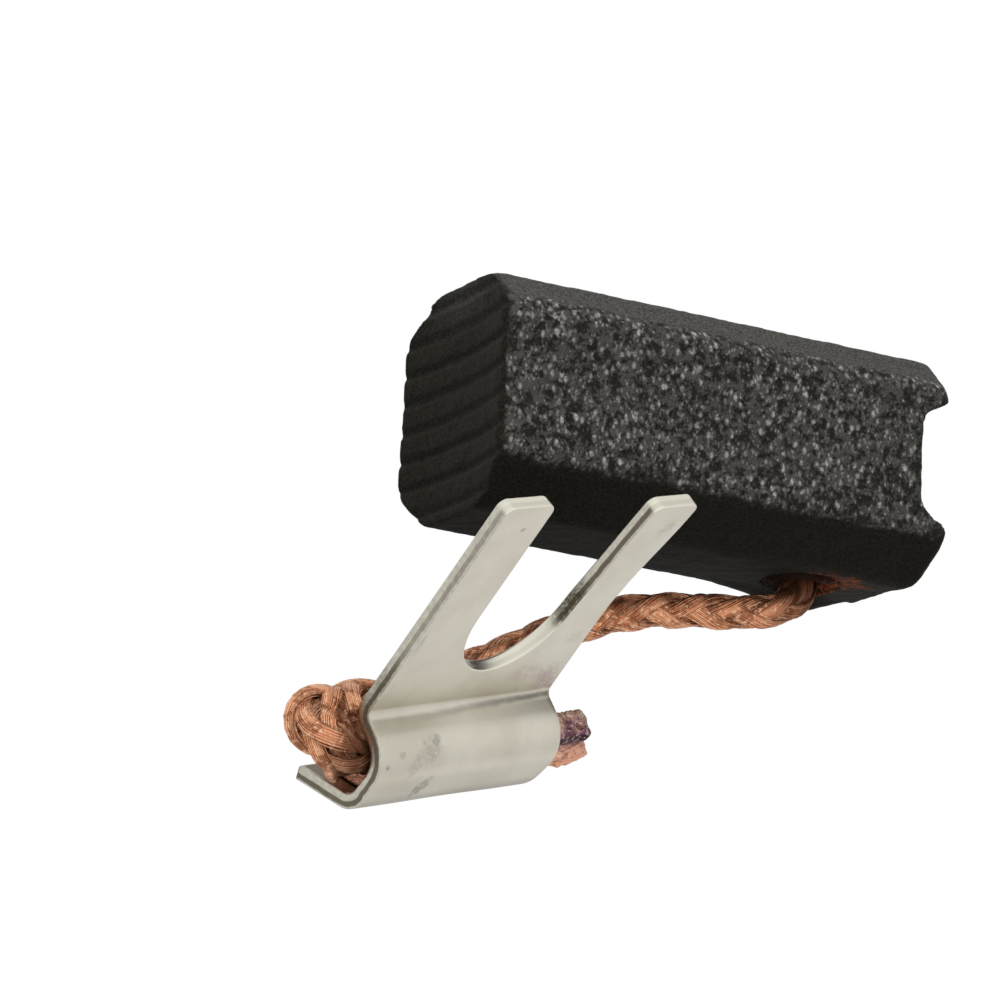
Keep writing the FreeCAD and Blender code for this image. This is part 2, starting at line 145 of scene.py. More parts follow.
class Finish:
    """A material, or a world, under construction. Any node comes from add()."""

    def __init__(self, name, world=None):
        """Start a new material, or a world's own nodes afresh."""
        self.material = world or bpy.data.materials.new(name)
        self.material.use_nodes = True
        self.nodes = self.material.node_tree.nodes
        self.links = self.material.node_tree.links
        self.nodes.clear()

    def add(self, kind, settings=None, inputs=None, output=0):
        """Add a node: its settings first, then a value or a link for each socket."""
        node = self.nodes.new(kind)
        for key, value in (settings or {}).items():
            setattr(node, key, value)
        for key, value in (inputs or {}).items():
            if isinstance(value, Value):
                self.links.new(value.socket, node.inputs[key])
            else:
                node.inputs[key].default_value = value
        return Value(self, node.outputs[output])

    def place(self, per_mm=1.0, stretch=(1, 1, 1), turn=(0, 0, 0)):
        """Object coordinates in millimetres, scaled and then turned for a pattern."""
        coords = self.add("ShaderNodeTexCoord", output="Object")
        factor = tuple(per_mm / MM * axis for axis in stretch)
        return self.add("ShaderNodeMapping", {}, {"Vector": coords, "Scale": factor, "Rotation": turn})

    def noise(self, per_mm, detail=3.0):
        """Noise from 0 to 1, with that many lumps a millimetre."""
        inputs = {"Vector": self.place(per_mm), "Scale": 1.0,
                  "Detail": detail, "Roughness": NOISE_ROUGHNESS}
        return self.add("ShaderNodeTexNoise", {}, inputs, "Fac")

    def attribute(self, name):
        """A number that the mesh carries at each of its points."""
        return self.add("ShaderNodeAttribute", {"attribute_name": name}, output="Fac")

    def mix(self, factor, low, high):
        """Blend two colours by a factor."""
        return self.add("ShaderNodeMix", {"data_type": "RGBA"}, {0: factor, 6: low, 7: high}, 2)

    def bump(self, height, distance_mm, strength=1.0):
        """A normal that leans as if the height stood out by that many millimetres."""
        inputs = {"Height": height, "Distance": distance_mm * MM, "Strength": strength}
        return self.add("ShaderNodeBump", {}, inputs)

    def finish(self, **sockets):
        """Feed the Principled shader's sockets and return the material."""
        inputs = {key.replace("_", " "): value for key, value in sockets.items()}
        self.add_output(self.add("ShaderNodeBsdfPrincipled", {}, inputs))
        return self.material

    def add_output(self, shader, kind="ShaderNodeOutputMaterial"):
        """Link the last shader to the tree's output."""
        node = self.nodes.new(kind)
        self.links.new(shader.socket, node.inputs["Surface"])


print("a finish is built from Value and Finish")

# %% [markdown]
# ## Floor, lamps and a white surround
#
# The brush lies on a pale floor. With the Light Path node, the camera sees floor and
# sky as plain white and metal mirrors them greyer, without more light on the brush.

# %% Set the stage
WHITE = (1, 1, 1, 1)
FLOOR_SIZE = 1.2
PAPER = 0.4
# How bright metal sees the floor: in the terminal's shade, and well away from it.
FLOOR_NEAR = 0.42
FLOOR_FAR = 0.86
SHADE_MIDDLE_MM = (-7.0, -12.0, 0.0)
SHADE_REACH_MM = (3.0, 14.0)
# How bright the sky lights things, and how bright metal sees it at the horizon.
SKY_LEVEL = 0.3
HORIZON_LEVEL = 0.72
HORIZON_HEIGHTS = (-0.1, 0.75)
AIM_MM = (-3, -4, 3)
# Each softbox: its name, place and side length in mm, power in watts, and colour.
SOFTBOXES = [
    ("key_softbox", (-90, 150, 170), 200, 0.66, (1.0, 0.985, 0.96)),
    ("fill_softbox", (-130, -110, 150), 220, 0.05, (0.97, 0.985, 1.0)),
]


def rays_seen(tree):
    """1 for camera, mirror and glass rays in turn, and 0 for light that falls on things."""
    names = ("Is Camera Ray", "Is Glossy Ray", "Is Transmission Ray")
    return [tree.add("ShaderNodeLightPath", output=name) for name in names]


def add_floor():
    """A square floor at the height that the brush lies on."""
    half = FLOOR_SIZE / 2
    corners = [(-half, -half, 0), (half, -half, 0), (half, half, 0), (-half, half, 0)]
    mesh = bpy.data.meshes.new("floor")
    mesh.from_pydata(corners, [], [(0, 1, 2, 3)])
    floor = add_object("floor", mesh)
    tree = Finish("pale_floor")
    camera_ray, mirror_ray, glass_ray = rays_seen(tree)
    ends = {0: tree.place(), 1: SHADE_MIDDLE_MM}
    offset = tree.add("ShaderNodeVectorMath", {"operation": "DISTANCE"}, ends, "Value")
    mirrored = offset.step(*SHADE_REACH_MM) * (FLOOR_FAR - FLOOR_NEAR) + FLOOR_NEAR
    share = (camera_ray + glass_ray).clamp() + mirror_ray * mirrored
    paper = tree.add("ShaderNodeBsdfDiffuse", {}, {"Color": (PAPER, PAPER, PAPER, 1)})
    glow = tree.add("ShaderNodeEmission", {}, {"Color": WHITE, "Strength": 1.0})
    tree.add_output(tree.add("ShaderNodeMixShader", {}, {0: share.clamp(), 1: paper, 2: glow}))
    mesh.materials.append(tree.material)


def set_sky():
    """A world that lights gently, looks white, and darkens to the horizon in reflections."""
    world = bpy.data.worlds.new("studio_sky")
    bpy.context.scene.world = world
    tree = Finish("studio_sky", world)
    camera_ray, mirror_ray, glass_ray = rays_seen(tree)
    direction = tree.add("ShaderNodeTexCoord", output="Generated")
    height = tree.add("ShaderNodeSeparateXYZ", {}, {0: direction}, 2)
    mirrored = height.step(*HORIZON_HEIGHTS) * (1 - HORIZON_LEVEL) + HORIZON_LEVEL
    plain = (camera_ray + glass_ray).clamp()
    level = plain + (1 - plain) * (mirror_ray * mirrored + (1 - mirror_ray) * SKY_LEVEL)
    sky = tree.add("ShaderNodeBackground", {}, {"Color": WHITE, "Strength": level})
    tree.add_output(sky, "ShaderNodeOutputWorld")


def add_softbox(name, place_mm, side_mm, power, colour):
    """A square area lamp that points at the middle of the brush."""
    data = bpy.data.lights.new(name, "AREA")
    data.shape = "SQUARE"
    data.size = side_mm * MM
    data.energy = power
    data.color = colour
    lamp = add_object(name, data)
    lamp.location = Vector(place_mm) * MM
    lamp.visible_glossy = False
    aim = Vector(AIM_MM) * MM - lamp.location
    lamp.rotation_euler = aim.to_track_quat("-Z", "Y").to_euler()


add_floor()
set_sky()
for softbox in SOFTBOXES:
    add_softbox(*softbox)
bpy.context.scene.view_settings.view_transform = "Standard"
print("stage set")

# %% [markdown]
# ## Surfaces from arrays
#
# Every new piece is a grid of points worked out as one array. These helpers turn
# arrays into a mesh, and hand each point's numbers to the materials as attributes.

# %% Turn arrays into a mesh
def quads(index, wrap=False):
    """Quads between neighbours in a grid of point numbers, optionally closed round its columns."""
    if wrap:
        index = np.column_stack((index, index[:, :1]))
    corners = (index[:-1, :-1], index[:-1, 1:], index[1:, 1:], index[1:, :-1])
    return np.stack([corner.ravel() for corner in corners], axis=1)


def tube_faces(count, rings, sides):
    """Quads of that many tubes, each of them a grid of rings and sides."""
    single = quads(np.arange(rings * sides).reshape(rings, sides), wrap=True)
    starts = np.arange(count) * rings * sides
    return (single + starts[:, None, None]).reshape(-1, 4)


def new_piece(name, points, faces, finish, attributes):
    """Make a smooth mesh object. Its attributes are repeated over the array of points."""
    mesh = bpy.data.meshes.new(name)
    mesh.vertices.add(points.size // 3)
    mesh.vertices.foreach_set("co", np.asarray(points, np.float32).ravel())
    mesh.loops.add(faces.size)
    mesh.loops.foreach_set("vertex_index", faces.astype(np.int32).ravel())
    mesh.polygons.add(len(faces))
    mesh.polygons.foreach_set("loop_start", np.arange(0, faces.size, faces.shape[1], dtype=np.int32))
    mesh.polygons.foreach_set("use_smooth", np.ones(len(faces), bool))
    mesh.update(calc_edges=True)
    for key, numbers in attributes.items():
        layer = mesh.attributes.new(key, "FLOAT", "POINT")
        everywhere = np.broadcast_to(numbers, points.shape[:-1])
        layer.data.foreach_set("value", everywhere.astype(np.float32).ravel())
    mesh.materials.append(finish)
    piece = add_object(name, mesh)
    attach(piece, "root")
    print(name, "has", len(faces) * 2, "triangles")
    return piece


print("a grid of 3 by 4 points has", len(quads(np.arange(12).reshape(3, 4))), "quads")

# %% Smooth steps, noise and directions
NOISE_TABLE = 4096
LATTICE_PRIMES = np.array((73856093, 19349663, 83492791))


def rise(values, low, high):
    """0 below low, 1 above high, with a smooth rise: the share squared times three less two shares."""
    share = np.clip((values - low) / (high - low), 0, 1)
    return share * share * (3 - 2 * share)


def lattice_noise(points, cell, seed):
    """Smooth random numbers from -1 to 1 in space.

    Each corner of a lattice of that cell size has a random number, and a point
    takes a mean of its eight corners, weighted by a smooth step along each axis.
    """
    table = np.random.default_rng(seed).uniform(-1, 1, NOISE_TABLE)
    scaled = np.asarray(points) / cell
    low = np.floor(scaled).astype(np.int64)
    share = rise(scaled - low, 0, 1)
    total = np.zeros(scaled.shape[:-1])
    for corner in np.ndindex(2, 2, 2):
        key = np.bitwise_xor.reduce((low + np.array(corner)) * LATTICE_PRIMES, axis=-1)
        weight = np.prod(np.where(corner, share, 1 - share), axis=-1)
        total += weight * table[key % NOISE_TABLE]
    return total


def unit(vectors):
    """The same directions, with a length of one."""
    return vectors / np.linalg.norm(vectors, axis=-1, keepdims=True)


def even_angles(count):
    """Angles that share a full turn evenly."""
    return np.arange(count) * 2 * math.pi / count


print("half way up a rise:", rise(0.5, 0, 1))

# %% [markdown]
# ## The pigtail's line
#
# The braid leaves the block, runs behind the fork, turns in a loose loop and enters
# the terminal's channel. Its line is a smooth spline over the route's points. Past
# the channel's mouth the same wires lie crushed in the weld and end in a stub.

# %% Read the line from a spline
ROUTE_MM = [
    (4.95, -0.80, 3.50), (4.97, -2.45, 3.50), (4.93, -4.20, 3.48), (4.35, -4.82, 3.36),
    (3.05, -5.06, 3.13), (1.12, -5.21, 2.78), (-0.79, -5.53, 2.57), (-2.47, -6.18, 2.45),
    (-4.28, -7.05, 2.40), (-6.05, -8.03, 2.47), (-7.79, -8.98, 2.66), (-9.52, -9.74, 2.93),
    (-11.18, -10.19, 3.32), (-12.38, -10.56, 3.74), (-13.04, -11.06, 4.06),
    (-13.27, -11.71, 4.50), (-12.74, -12.25, 4.86), (-11.92, -12.473, 4.812),
    (-11.095, -12.221, 4.555),
]
# The weld carries the line on to the end of the stub, past the fork's other side.
WELD_LINE_MM = [(-9.0, -11.58, 3.902), (-5.6, -10.541, 2.843), (-2.45, -9.57, 1.92)]
LINE_SAMPLES = 230


def spline_line(points_mm, samples):
    """Evenly spaced points on a smooth spline that has these control points."""
    curve = bpy.data.curves.new("pigtail_line", "CURVE")
    curve.dimensions = "3D"
    curve.resolution_u = 32
    spline = curve.splines.new("NURBS")
    spline.points.add(len(points_mm) - 1)
    for point, place in zip(spline.points, points_mm):
        point.co = tuple(number * MM for number in place) + (1,)
    spline.order_u = 3
    spline.use_endpoint_u = True
    holder = bpy.data.objects.new("pigtail_line", curve)
    mesh = bpy.data.meshes.new_from_object(holder)
    line = np.array([vertex.co for vertex in mesh.vertices])
    bpy.data.objects.remove(holder)
    steps = np.linalg.norm(np.diff(line, axis=0), axis=1)
    length = np.concatenate(([0], np.cumsum(steps)))
    even = np.linspace(0, length[-1], samples)
    places = np.column_stack([np.interp(even, length, line[:, axis]) for axis in range(3)])
    return places, even


pigtail_line, line_length = spline_line(ROUTE_MM + WELD_LINE_MM, LINE_SAMPLES)
free_length = spline_line(ROUTE_MM, LINE_SAMPLES)[1][-1]
print("line %.2f mm, of which free braid %.2f mm" % (line_length[-1] / MM, free_length / MM))

# %% [markdown]
# ## Copper
#
# The wires are bare copper, a warm pink where they are clean. Each wire has its own
# slight tone, and the wires in the loop are painted brighter as a painted highlight.
# The gaps between the strands get a painted brown shade, by how far in a point lies in
# the braid, because light bounces there from copper to copper. A strand's edges get
# painted shade too, and bright flecks are painted highlights.

# %% The finish of the copper wires
COPPER_SHADES = (0.66, 0.27, 0.13, 1), (0.98, 0.53, 0.31, 1)
COPPER_WORN = (0.33, 0.105, 0.04, 1)
COPPER_PAINTED_SHADE = (0.055, 0.014, 0.005, 1)
COPPER_GLINT = (1.0, 0.65, 0.43, 1)
BROWN_POWDER_AND_PAINTED_SHADE = (0.085, 0.026, 0.011, 1)


def make_copper_wire():
    """Bare copper with a tone of its own for each wire, painted highlights, and painted brown shade in
    the gaps.
    """
    tree = Finish("copper_wire")
    patches = tree.noise(2.1, 5)
    fine = tree.noise(13.0)
    dust_and_painted_shade = tree.attribute("dust_and_painted_shade")
    # A random tone for each wire, brighter in the loop as a painted highlight.
    colour = tree.mix(tree.attribute("tone_and_painted_highlight"), *COPPER_SHADES)
    colour = tree.mix(patches.step(0.47, 0.6) * 0.7, colour, COPPER_WORN)
    # Painted brown shade in the braid's gaps and on the strands' edges.
    braid_painted_shade = (tree.attribute("braid_painted_shade") + (fine - 0.5) * 0.5).clamp()
    colour = tree.mix(braid_painted_shade * 0.95, colour, COPPER_PAINTED_SHADE)
    # Painted highlights: bright flecks, fewer where the braid has painted shade.
    painted_highlights = tree.noise(7.0).step(0.54, 0.64) * (1 - braid_painted_shade)
    colour = tree.mix(painted_highlights * 0.85, colour, COPPER_GLINT)
    # Near the block the wires carry brown powder, darkened with painted shade; near the
    # weld they get the same brown as painted shade.
    colour = tree.mix(dust_and_painted_shade, colour, BROWN_POWDER_AND_PAINTED_SHADE)
    rough = fine * 0.3 + dust_and_painted_shade * 0.25 + 0.22
    return tree.finish(Base_Color=colour, Metallic=0.84, Roughness=rough,
                       Normal=tree.bump(fine + patches, 0.03, 0.6))


copper_wire = make_copper_wire()
print("copper wire ready")

# %% [markdown]
# ## The braid
#
# Eight strands of fine wire are plaited round a hollow: four wind to the left and
# four to the right, and each goes over two and under two. A strand is a flat ribbon
# of wires, and every wire here is modelled. In the loop the braid is pushed
# together, so its strands spread and part.

# %% Shape the braid along its line
BRAID_RADIUS = 0.35 * MM
# The loop's middle, back from the end of the free braid, and its half length.
LOOP_BACK_MM = 4.2
LOOP_LENGTH_MM = 2.6
LOOP_SPREAD = 0.55
LOOP_GATHER = 0.46 * MM
# Where the braid enters the channel it rides a little higher than its line.
RIDE_BACK_MM = 2.5
RIDE_LENGTH_MM = 1.5
RIDE_LIFT = 0.2 * MM
# The direction in which the fork's prongs point.
FORK_UP = (0.076, 0.579, 0.812)


def bell(centre, width):
    """A smooth hump along the line: e to the power of less the squared share of its width, in mm."""
    return np.exp(-((line_length / MM - centre) / width) ** 2)


def ramp(start, end):
    """A smooth rise from 0 to 1 between two distances along the line, in mm."""
    return rise(line_length / MM, start, end)


def square_axes(line):
    """Two directions square to a line: up crossed with its direction, and its direction with that."""
    ahead = unit(np.gradient(line, axis=0))
    level = unit(np.cross((0, 0, 1), ahead))
    return level, np.cross(ahead, level)


free_mm = free_length / MM
side, above = square_axes(pigtail_line)
loop_share = bell(free_mm - LOOP_BACK_MM, LOOP_LENGTH_MM)
spread = 1 + LOOP_SPREAD * loop_share
# The strands bunch towards the loop's inside, where they have slack.
loop_middle = (pigtail_line * loop_share[:, None]).sum(axis=0) / loop_share.sum()
gather = LOOP_GATHER * loop_share[:, None] * unit(loop_middle - pigtail_line)
ride = RIDE_LIFT * bell(free_mm - RIDE_BACK_MM, RIDE_LENGTH_MM)
braid_middle = pigtail_line + gather + ride[:, None] * np.array(FORK_UP)
squeeze = ramp(free_mm - 1.6, free_mm - 0.2)
# Brown powder, darkened with painted shade, lies in the hole and just outside it, and
# a painted brown shade lies where the weld begins, at the channel's mouth.
powder_and_painted_shade = np.maximum(1 - ramp(2.9, 5.4), 0.75 * ramp(free_mm - 1.9, free_mm - 0.8))
print("loop at %.1f mm along the line" % (free_mm - LOOP_BACK_MM))

# %% Lead the strands over and under
LAY_LENGTH = 6.2 * MM
STRANDS_EACH_WAY = 4
WEAVE_HEIGHT = 0.09 * MM
WOBBLE_CELL = 2.5 * MM
WOBBLE_SEED = 11
RIBBON_HALF_WIDTH = 0.26 * MM
RIBBON_HALF_HEIGHT = 0.135 * MM
# How much painted shade a strand's edges get.
EDGE_PAINTED_SHADE = 0.5


def strand_path(turn, number):
    """Centre of one strand, with its outward and sideways directions.

    Its angle grows evenly along the line, one turn for each lay length, and its
    radius swings once for each half lay, so that it passes over two strands and
    then under two. The swing grows in the loop and shrinks towards the weld.
    """
    cycle = 2 * math.pi * line_length / LAY_LENGTH
    angle = turn * cycle + number * math.pi / 2
    swing = turn * np.cos(2 * cycle - turn * math.pi / 4 + number * math.pi)
    weave = WEAVE_HEIGHT * (1 + 0.9 * loop_share) * (1 - 0.5 * squeeze)
    places = np.outer(line_length, (1, 0, 0)) + number * 0.01
    wobble = lattice_noise(places, WOBBLE_CELL, WOBBLE_SEED + number + (turn > 0) * 4)
    radius = BRAID_RADIUS * spread + weave * swing
    radius = radius * (1 + wobble * (0.07 + 0.22 * loop_share))
    out = np.cos(angle)[:, None] * side + np.sin(angle)[:, None] * above
    centre = braid_middle + out * radius[:, None]
    return centre, out, unit(np.cross(out, unit(np.gradient(centre, axis=0))))


def painted_shade_in_braid(points, seats):
    """Painted shade at each point of the braid, from 0 on its outside to 1 in its hollow.

    A strand's two edges get more painted shade than its crown, by the eighth power of the
    cosine of the point's seat round the strand.
    """
    radius = np.linalg.norm(points - braid_middle[:, None], axis=-1)
    depth = 1 - rise(radius / (BRAID_RADIUS * spread[:, None]), 0.9, 1.42)
    return np.maximum(depth, EDGE_PAINTED_SHADE * np.cos(seats) ** 8)


# A strand swells in the loop.
ribbon_width = RIBBON_HALF_WIDTH * (1 + 0.12 * loop_share)
ribbon_height = RIBBON_HALF_HEIGHT * (1 + 0.6 * loop_share)
print("strands are %.2f mm wide in the loop" % (2 * ribbon_width.max() / MM))

# %% Plait the wires
WIRES_PER_STRAND = 24
WIRE_SIDES = 4
WIRE_RADIUS = 0.032 * MM
WIRE_TIP = 0.02
WIRE_SEATS = even_angles(WIRES_PER_STRAND)
WIRE_SPACING = 7.3 * MM
WIRE_STRAY = 0.04 * MM
WIRE_LIFT = 0.024 * MM
WIRE_SEED = 100


def wire_paths(turn, number):
    """Centres of one strand's wires: rows are wires, columns go along the line.

    The wires sit on an ellipse round the strand's centre, which lies flat on the
    braid, and each wanders a little.
    """
    centre, out, across = strand_path(turn, number)
    seed = WIRE_SEED + number + (turn > 0) * 10
    rows = np.arange(WIRES_PER_STRAND)[:, None] * WIRE_SPACING
    grid = np.stack(np.broadcast_arrays(line_length, rows, 0), axis=-1)
    stray = lattice_noise(grid, 1.3 * MM, seed) * WIRE_STRAY
    lift = lattice_noise(grid, 1.7 * MM, seed + 50) * WIRE_LIFT
    sideways = np.cos(WIRE_SEATS)[:, None] * ribbon_width + stray
    outward = np.sin(WIRE_SEATS)[:, None] * ribbon_height + lift
    return centre + sideways[..., None] * across + outward[..., None] * out


def tubes(paths, radius):
    """Thin tubes along many paths at once, closed to a point at both ends.

    A ring's points are the path's point plus the radius times cosine and sine of
    even angles, along two directions square to the path.
    """
    along = unit(np.gradient(paths, axis=1))
    first = unit(np.cross((0.0, 0.0, 1.0), along))
    second = np.cross(along, first)
    turn = even_angles(WIRE_SIDES)[:, None]
    taper = np.ones(paths.shape[1])
    taper[[0, -1]] = WIRE_TIP
    ring = np.cos(turn) * first[:, :, None] + np.sin(turn) * second[:, :, None]
    points = paths[:, :, None] + ring * (radius * taper)[:, None, None]
    return points, tube_faces(*points.shape[:-1])


def plait(name, turn, seed):
    """All the wires of the strands that wind one way, as one piece."""
    paths = np.concatenate([wire_paths(turn, number) for number in range(STRANDS_EACH_WAY)])
    points, faces = tubes(paths, WIRE_RADIUS)
    shades = np.random.default_rng(seed).uniform(0, 1, len(paths))[:, None, None]
    seats = np.tile(WIRE_SEATS, STRANDS_EACH_WAY)[:, None, None]
    # Each wire gets a random tone, and the loop's wires are painted brighter, a painted highlight.
    attributes = {"tone_and_painted_highlight": shades * 0.75 + 0.6 * loop_share[:, None], "dust_and_painted_shade": powder_and_painted_shade[:, None],
                  "braid_painted_shade": painted_shade_in_braid(points, seats)}
    return new_piece(name, points, faces, copper_wire, attributes)


left_strands = plait("pigtail_left_strands", -1, 5)
right_strands = plait("pigtail_right_strands", 1, 6)

# %% [markdown]
# ## The terminal
#
# The fork is one strip of nickel-plated metal. It is drawn flat, as a blank with a
# slot, then folded. A press sheared its outline, and the cut wall shows how: a
# smooth band at the back, where the punch went in, then a torn, darker band, and
# a thin bright burr at the front. Each point carries its place on the blank and
# through the sheet, so the finish can paint those bands and the stains.

# %% The strip's middle line
SHEET = 0.5
FORK_HALF = 4.1
SLOT_MIDDLE = 0.2
SLOT_HALF = 2.15
SLOT_ROUND_FROM = 4.0
SLOT_ROUND_DEPTH = 2.5
PRONG_END = 8.87
TIP_ROUND = 0.35
PRONG_LEAN = math.radians(5.3)
# The middle line as the CAD folds it: along the prongs, and towards the front.
FOLD_CORNERS = [(PRONG_END, 0.0), (-0.15, 0.0), (-0.60, 1.62), (-2.55, 1.62), (-3.45, -0.65)]
FOLD_RADII = [0.55, 1.10, 0.70]
ARC_SAMPLES = 25


def fold_line():
    """Distance down the strip, place along and in front, and heading, as arrays.

    Straight runs join arcs. An arc takes its radius times the tangent of half its
    turn off the run on each side of it.
    """
    corners = np.array(FOLD_CORNERS)
    runs = np.diff(corners, axis=0)
    headings = np.unwrap(np.arctan2(runs[:, 1], runs[:, 0]))
    places, angles = [corners[:1]], [headings[:1]]
    for corner, radius, before, after in zip(corners[1:], FOLD_RADII, headings, headings[1:]):
        turn = np.linspace(before, after, ARC_SAMPLES)
        trim = radius * math.tan(abs(after - before) / 2)
        start = corner - trim * np.array((math.cos(before), math.sin(before)))
        sweep = np.column_stack((np.sin(turn) - np.sin(before), np.cos(before) - np.cos(turn)))
        places.append(start + radius * np.sign(after - before) * sweep)
        angles.append(turn)
    places.append(corners[-1:])
    angles.append(headings[-1:])
    places, angles = np.concatenate(places), np.concatenate(angles)
    steps = np.linalg.norm(np.diff(places, axis=0), axis=1)
    return np.concatenate(([0], np.cumsum(steps))), places, angles


fold_distance, fold_places, fold_angles = fold_line()
STRIP_END = PRONG_END - fold_distance[-1]
print("the strip is %.2f mm long" % fold_distance[-1])

# %% Draw the flat blank
TIP_ROWS = 9
PRONG_ROWS = 40
SLOT_ROWS = 40
SHEET_ROWS = 100
STRIP_COLUMNS = 22
SLOT_ROW = TIP_ROWS + PRONG_ROWS + SLOT_ROWS - 3
# The narrow prong widens a little towards its tip, and the lip's end is drawn in.
PRONG_FLARE = 0.2
FLARE_HEIGHTS = (5.0, 8.2)
LIP_TAPER = 0.6
LIP_DEPTHS = (2.2, 4.1)


def blank_rows(inset):
    """Heights of the blank's rows, closer together at the tips and the slot's end."""
    quarter = np.linspace(0, math.pi / 2, TIP_ROWS)
    tip = PRONG_END - inset - (TIP_ROUND - inset) * (1 - np.cos(quarter))
    bend = np.sin(np.linspace(0, math.pi / 2, SLOT_ROWS))
    slot_end = SLOT_ROUND_FROM - (SLOT_ROUND_DEPTH + inset) * bend
    prong = np.linspace(tip[-1], SLOT_ROUND_FROM, PRONG_ROWS)
    rest = np.linspace(slot_end[-1], STRIP_END + inset, SHEET_ROWS)
    return np.concatenate((tip, prong[1:], slot_end[1:], rest[1:]))


def blank(inset):
    """The blank's left and right halves, drawn in all round by the inset.

    The slot's end is half an ellipse: its half width at a height is the full half
    width times the root of one less the squared share of the depth.
    """
    rows = blank_rows(inset)
    depth = np.clip((SLOT_ROUND_FROM - rows) / (SLOT_ROUND_DEPTH + inset), 0, 1)
    depth[SLOT_ROW:] = 1
    slot = (SLOT_HALF + inset) * np.sqrt(1 - depth ** 2)
    corner = TIP_ROUND - inset
    above = np.clip(rows - (PRONG_END - TIP_ROUND), 0, corner)
    cut = corner - np.sqrt(corner ** 2 - above ** 2)
    outer = FORK_HALF - inset - cut
    flare = PRONG_FLARE * rise(rows, *FLARE_HEIGHTS)
    taper = LIP_TAPER * rise(-rows, *LIP_DEPTHS)
    edges = ((-outer, SLOT_MIDDLE - slot - cut),
             (SLOT_MIDDLE + slot + cut - flare / 3, outer + flare - taper))
    share = np.linspace(0, 1, STRIP_COLUMNS)
    halves = np.array([first[:, None] * (1 - share) + last[:, None] * share for first, last in edges])
    return np.stack((halves, np.broadcast_to(rows[:, None], halves.shape)), axis=-1)


def outline_order(left, right):
    """Point numbers round the blank's edge, clockwise as seen from the front."""
    return np.concatenate((
        left[::-1, 0], left[0, 1:], left[1:SLOT_ROW + 1, -1], right[SLOT_ROW - 1::-1, 0],
        right[0, 1:], right[1:, -1], right[-1, -2::-1], left[-1, -2:0:-1]))


print("blank:", blank(0).shape, "points")

# %% Fold the blank
TERMINAL_PLACE = np.array((-8.14, -9.864, 4.444845))
# Degrees of roll about X, then of pitch about Y, then of yaw about Z.
TERMINAL_TURNS = ((57.9, "X"), (16.6, "Y"), (17.0, "Z"))
roll, pitch, yaw = (Matrix.Rotation(math.radians(angle), 3, axis) for angle, axis in TERMINAL_TURNS)
# Rows are the terminal's own axes.
TERMINAL_AXES = np.array(yaw @ pitch @ roll).T
HINGE_SOFTNESS = 0.3


def fold(across, along, depth):
    """Take points of the blank, with their height above its middle, to the frame.

    The middle line gives the place, and the depth is measured square to it. The
    narrower prong leans forward by its angle times a smooth hinge, which is half
    the sum of the height and the root of its square plus a small square.
    """
    distance = PRONG_END - along
    place = [np.interp(distance, fold_distance, fold_places[:, axis]) for axis in range(2)]
    heading = np.interp(distance, fold_distance, fold_angles)
    height = place[0] + depth * np.sin(heading)
    front = place[1] - depth * np.cos(heading)
    above = along - SLOT_ROUND_FROM
    reach = np.sqrt(above ** 2 + HINGE_SOFTNESS ** 2)
    narrow = across > SLOT_MIDDLE + 0.01
    hinge = narrow * (above + reach) / 2
    bent = narrow * (1 + above / reach) / 2
    front = front + math.sin(PRONG_LEAN) * hinge
    height = height - (1 - math.cos(PRONG_LEAN)) * hinge - math.sin(PRONG_LEAN) * depth * bent
    local = np.stack((across, height, front), axis=-1)
    return (local @ TERMINAL_AXES + TERMINAL_PLACE) * MM


print("across, along and front:", TERMINAL_AXES.round(3).tolist())

# %% Close the sheet round its edge
FRONT_ROUND = 0.035
BACK_ROUND = 0.11
CORNER_RINGS = 6
WALL_RINGS = 6
DENT_CELL = 2.6
DENT_DEPTH = 0.012
DENT_SEED = 21


def rim_profile():
    """Inset and height down the sheet's edge: a tight front corner, a wall, a fuller back corner."""
    quarter = np.linspace(0, math.pi / 2, CORNER_RINGS)
    half = SHEET / 2
    wall = np.linspace(half - FRONT_ROUND, BACK_ROUND - half, WALL_RINGS + 2)[1:-1]
    insets = (FRONT_ROUND * (1 - np.sin(quarter)), wall * 0, BACK_ROUND * (1 - np.cos(quarter)))
    heights = (half - FRONT_ROUND * (1 - np.cos(quarter)), wall,
               BACK_ROUND * (1 - np.sin(quarter)) - half)
    return np.concatenate(insets), np.concatenate(heights)


def make_terminal(finish):
    """Front face, back face and a sheared rim with rounded corners, as one skin."""
    count = blank(0).size // 4
    left = np.arange(count).reshape(-1, STRIP_COLUMNS)
    right = left + count
    right[SLOT_ROW:, 0] = left[SLOT_ROW:, -1]
    flat = np.concatenate((quads(left), quads(right)))
    outline = outline_order(left, right)

    layers = [np.insert(blank(inset).reshape(-1, 2), 2, height, axis=1)
              for inset, height in zip(*rim_profile())]
    rings = [layer[outline] for layer in layers[1:-1]]
    points = np.concatenate([layers[0], layers[-1]] + rings)
    rim = np.arange(len(rings) * len(outline)).reshape(len(rings), -1) + 4 * count
    levels = np.concatenate((outline[None], rim, outline[None] + 2 * count))
    faces = np.concatenate((flat[:, ::-1], flat + 2 * count, quads(levels, wrap=True)))
    used, faces = np.unique(faces, return_inverse=True)
    points, faces = points[used], faces.reshape(-1, 4)

    across, along, height = points.T
    dents = lattice_noise(points * (1, 1, 0), DENT_CELL, DENT_SEED) * DENT_DEPTH
    attributes = {"across": across, "along": along, "through": height / (SHEET / 2),
                  "rim": used >= 4 * count}
    return new_piece("fork_terminal_strip", fold(across, along, height + dents), faces, finish,
                     attributes)


print("the edge is %d rings deep" % len(rim_profile()[0]))

